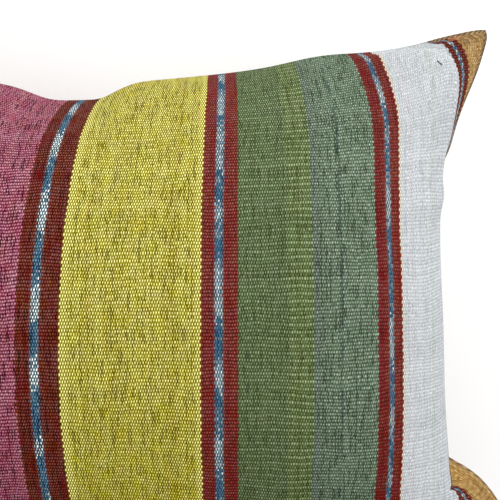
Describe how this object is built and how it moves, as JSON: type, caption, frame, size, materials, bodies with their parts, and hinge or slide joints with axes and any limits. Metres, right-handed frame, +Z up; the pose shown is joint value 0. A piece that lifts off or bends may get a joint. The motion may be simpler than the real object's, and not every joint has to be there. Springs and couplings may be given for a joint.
{
  "type": "throw cushion",
  "caption": "Plump oblong throw cushion lying on its back, with a crowned face, drawn-in sides and soft pointed corners, covered in cloth woven in stripes.",
  "frame": {"origin": "on the surface that the cushion lies on, under the middle of its bounding box", "axes": "+X to the right of its face, along its length; +Y towards its top seam; +Z up, out of its face"},
  "size_m": [0.5866, 0.4052, 0.142],
  "materials": {
    "striped_cloth": "matt warp-faced cloth woven in lengthwise stripes"
  },
  "bodies": {
    "root": {"cushion": "striped_cloth"}
  },
  "joints": []
}
